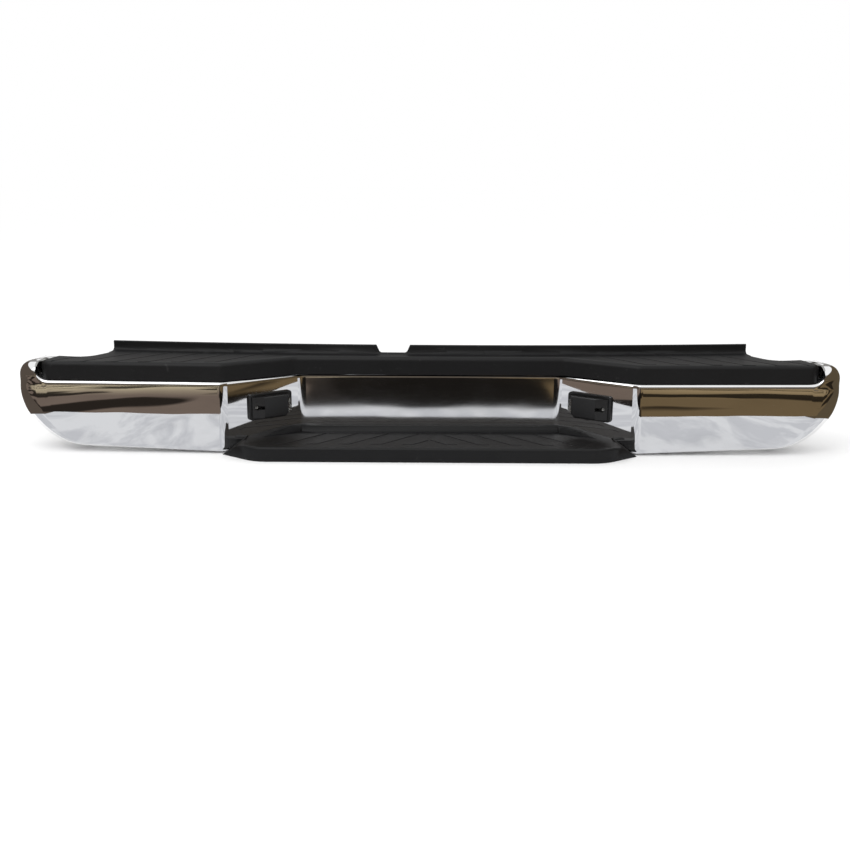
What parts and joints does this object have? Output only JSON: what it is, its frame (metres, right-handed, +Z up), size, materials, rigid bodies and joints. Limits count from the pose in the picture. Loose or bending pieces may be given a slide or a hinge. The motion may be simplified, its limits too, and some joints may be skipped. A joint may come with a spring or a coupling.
{
  "type": "truck step bumper",
  "caption": "Rear step bumper for a pickup truck: chrome face bar with a number plate recess, moulded top and lower treads, plate lamps and frame brackets.",
  "frame": {"origin": "on the ground under the middle of the bumper's bounding box, as it stands on its lower tread skirt and its frame brackets", "axes": "+X to the right as seen by someone facing the treads, -Y out of the truck towards that person, +Z up"},
  "size_m": [1.7968, 0.36, 0.2208],
  "materials": {
    "chrome": "polished chrome plate",
    "step_plastic": "fine-grained satin black moulding",
    "lamp_plastic": "satin black moulding",
    "painted_steel": "black electrocoat",
    "zinc_steel": "zinc plate",
    "clear_lens": "clear plastic",
    "bulb_glass": "clear glass",
    "seal_rubber": "matt black",
    "clip_nylon": "natural black nylon"
  },
  "bodies": {
    "root": {"face_bar": "chrome", "top_step_pad": "step_plastic", "lower_step_pad": "step_plastic", "cross_beam": "painted_steel", "frame_bracket_right": "painted_steel", "frame_bracket_left": "painted_steel", "corner_brace_right": "painted_steel", "corner_brace_left": "painted_steel", "step_support": "painted_steel", "bracket_bolts": "zinc_steel", "bracket_nuts": "zinc_steel", "brace_bolts": "zinc_steel", "brace_nuts": "zinc_steel", "support_bolts": "zinc_steel", "support_nuts": "zinc_steel", "top_pad_clips": "clip_nylon", "lower_pad_clips": "clip_nylon", "plate_lamp_housing_right": "lamp_plastic", "plate_lamp_lens_right": "clear_lens", "plate_lamp_seal_right": "seal_rubber", "plate_lamp_bulb_right": "bulb_glass", "plate_lamp_holder_right": "lamp_plastic", "plate_lamp_screw_right": "zinc_steel", "plate_lamp_housing_left": "lamp_plastic", "plate_lamp_lens_left": "clear_lens", "plate_lamp_seal_left": "seal_rubber", "plate_lamp_bulb_left": "bulb_glass", "plate_lamp_holder_left": "lamp_plastic", "plate_lamp_screw_left": "zinc_steel"}
  },
  "joints": []
}
